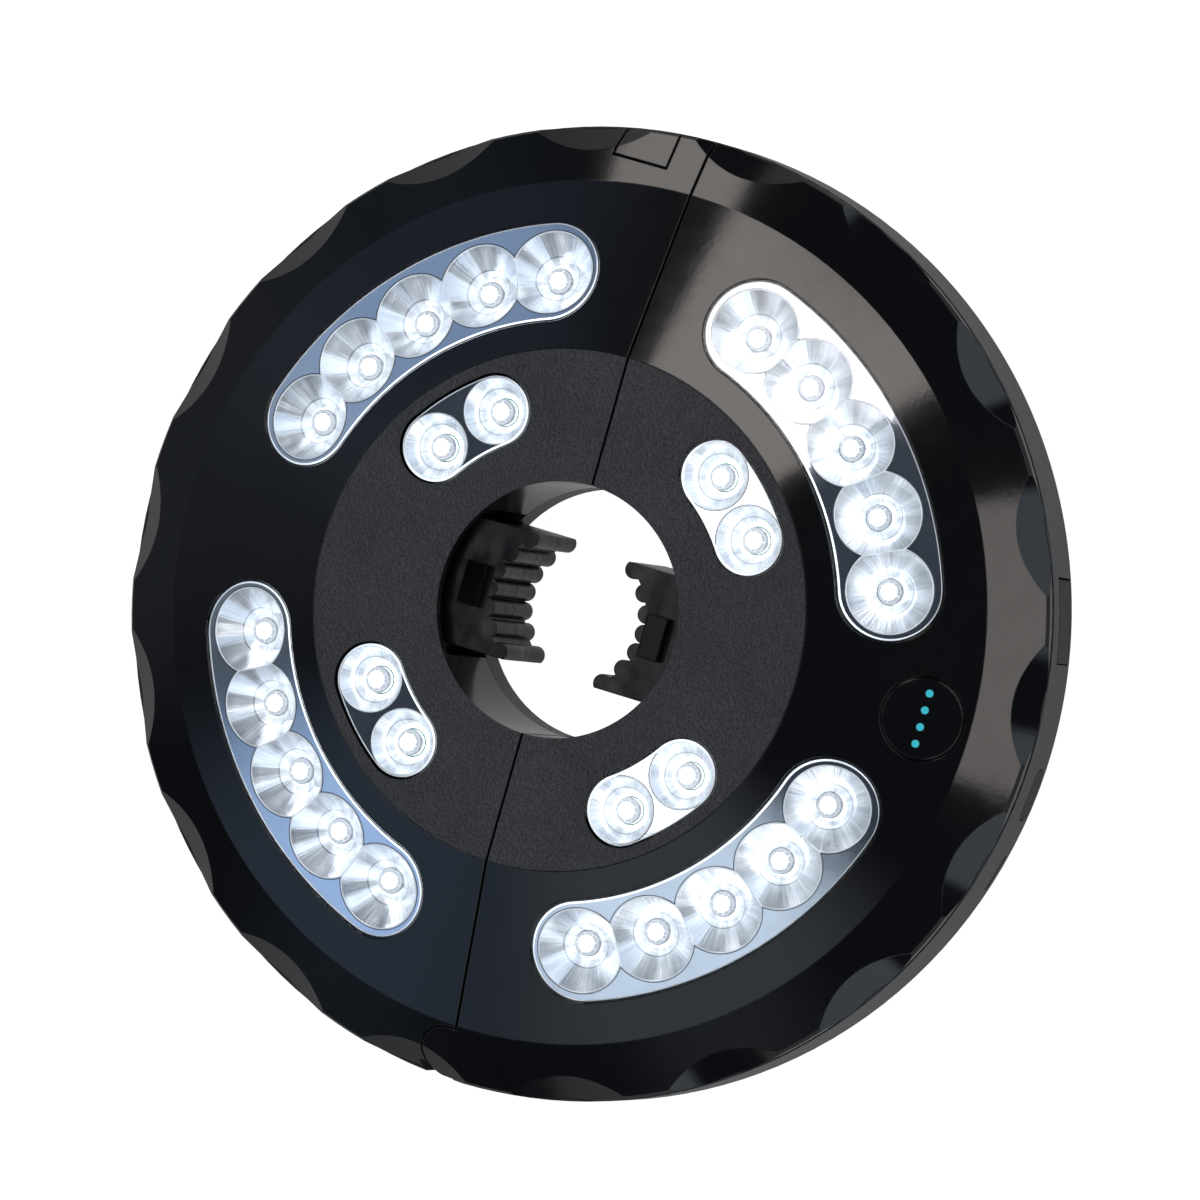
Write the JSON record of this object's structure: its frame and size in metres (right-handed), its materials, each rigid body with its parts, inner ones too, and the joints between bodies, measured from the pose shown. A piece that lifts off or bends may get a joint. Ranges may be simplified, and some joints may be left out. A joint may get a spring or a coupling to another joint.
{
  "type": "patio umbrella light",
  "caption": "Round battery light in two hinged halves that clips round an umbrella pole, with lamp clusters in silvered cups, a scalloped rim and sprung toothed jaws.",
  "frame": {"origin": "axis of the pole hole, on the flat back face, with both halves latched", "axes": "+Z the way the lamps shine (down, on a pole), +Y along the split towards the latch, -Y towards the hinge, +X towards the middle of the swinging half with the power button"},
  "size_m": [0.222, 0.222, 0.036],
  "materials": {
    "gloss_black": "glossy",
    "satin_black": "satin",
    "grained_black": "fine grain",
    "clear_window": "polished clear plastic",
    "silvered": "polished, vacuum silvered",
    "lamp_chip": "glossy, lit",
    "circuit_board": "matt",
    "steel": "bright",
    "cell": "satin sleeve",
    "port_rubber": "matt",
    "gauge_light": "glossy, lit"
  },
  "bodies": {
    "left_half": {"left_front_cover": "gloss_black", "left_back_cover": "satin_black", "left_centre_ring": "grained_black", "left_outer_windows": "clear_window", "left_inner_windows": "clear_window", "left_outer_reflectors": "silvered", "left_inner_reflectors": "silvered", "left_outer_lamps": "lamp_chip", "left_inner_lamps": "lamp_chip", "left_outer_board": "circuit_board", "left_inner_boards": "circuit_board", "left_screws": "steel", "battery_cells": "cell", "battery_cradle": "satin_black", "latch_spring": "steel", "left_jaw_spring": "steel"},
    "right_half": {"right_front_cover": "gloss_black", "right_back_cover": "satin_black", "right_centre_ring": "grained_black", "right_outer_windows": "clear_window", "right_inner_windows": "clear_window", "right_outer_reflectors": "silvered", "right_inner_reflectors": "silvered", "right_outer_lamps": "lamp_chip", "right_inner_lamps": "lamp_chip", "right_outer_board": "circuit_board", "right_inner_boards": "circuit_board", "right_screws": "steel", "right_jaw_spring": "steel", "hinge_pin": "steel", "latch_tongue": "satin_black", "main_board": "circuit_board", "power_switch": "steel", "power_socket": "steel", "charge_socket": "steel"},
    "latch_button": {"latch_button": "gloss_black"},
    "left_jaw": {"left_jaw_front": "gloss_black", "left_jaw_back": "gloss_black"},
    "right_jaw": {"right_jaw_front": "gloss_black", "right_jaw_back": "gloss_black"},
    "power_button": {"power_button": "gloss_black", "gauge_dots": "gauge_light"},
    "socket_cover": {"socket_cover": "port_rubber"},
    "charge_plug": {"charge_plug": "port_rubber"}
  },
  "joints": [
    {"name": "hinge", "type": "hinge", "parent": "left_half", "child": "right_half", "pos_m": [-0.002, -0.1048, 0], "axis": [0, 0, -1], "range_deg": [0, 65]},
    {"name": "latch", "type": "slide", "parent": "left_half", "child": "latch_button", "axis": [0, 0, -1], "range_m": [0, 0.0014], "stiffness_N_per_m": 2500, "springref_m": -0.0006, "deforming": ["latch_spring"]},
    {"name": "left_jaw_slide", "type": "slide", "parent": "left_half", "child": "left_jaw", "axis": [-1, 0, 0], "range_m": [0, 0.009], "stiffness_N_per_m": 800, "springref_m": -0.002, "deforming": ["left_jaw_spring"]},
    {"name": "right_jaw_slide", "type": "slide", "parent": "right_half", "child": "right_jaw", "axis": [1, 0, 0], "range_m": [0, 0.009], "stiffness_N_per_m": 800, "springref_m": -0.002, "deforming": ["right_jaw_spring"]},
    {"name": "power_press", "type": "slide", "parent": "right_half", "child": "power_button", "axis": [-0.2656, 0, -0.9641], "range_m": [0, 0.0006], "stiffness_N_per_m": 3000, "springref_m": -0.0003},
    {"name": "socket_cover_hinge", "type": "hinge", "parent": "right_half", "child": "socket_cover", "pos_m": [0.10376, 0.03696, 0], "axis": [0, 0, 1], "range_deg": [0, 100]},
    {"name": "charge_plug_pull", "type": "slide", "parent": "right_half", "child": "charge_plug", "axis": [0.9954, -0.0958, 0], "range_m": [0, 0.006]}
  ]
}
